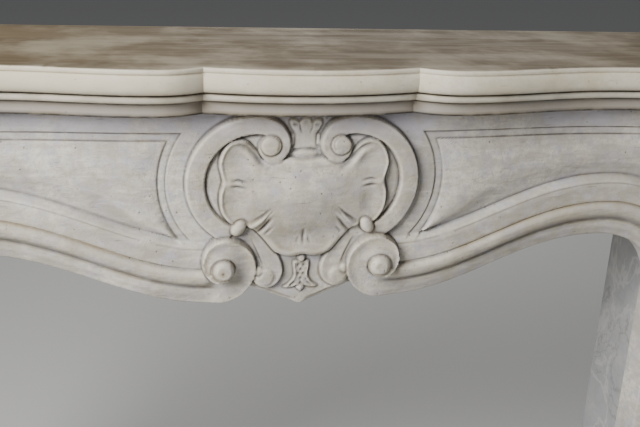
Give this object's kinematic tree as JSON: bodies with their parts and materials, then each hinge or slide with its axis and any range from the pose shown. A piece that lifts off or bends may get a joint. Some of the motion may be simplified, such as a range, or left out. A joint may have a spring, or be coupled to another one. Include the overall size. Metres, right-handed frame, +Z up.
{
  "type": "fireplace mantel",
  "caption": "Carved stone fireplace mantel with a serpentine moulded shelf, a shield and scroll frieze over an arched opening, moulded jambs and plain side returns.",
  "frame": {"origin": "on the floor, at the middle of the width and midway between the nose of the shelf and the wall", "axes": "+X to the right when facing the mantel, +Y back towards the wall, +Z up"},
  "size_m": [1.44, 0.311, 1.08],
  "materials": {
    "shelf_stone": "honey-coloured limestone, rubbed smooth, faint brown streaks on top",
    "carved_stone": "pale carved limestone, satin, dirt in the hollows",
    "return_stone": "sawn grey veined stone, matt"
  },
  "bodies": {
    "root": {"shelf": "shelf_stone", "frieze": "carved_stone", "left_jamb": "carved_stone", "right_jamb": "carved_stone", "left_return": "return_stone", "right_return": "return_stone"}
  },
  "joints": []
}
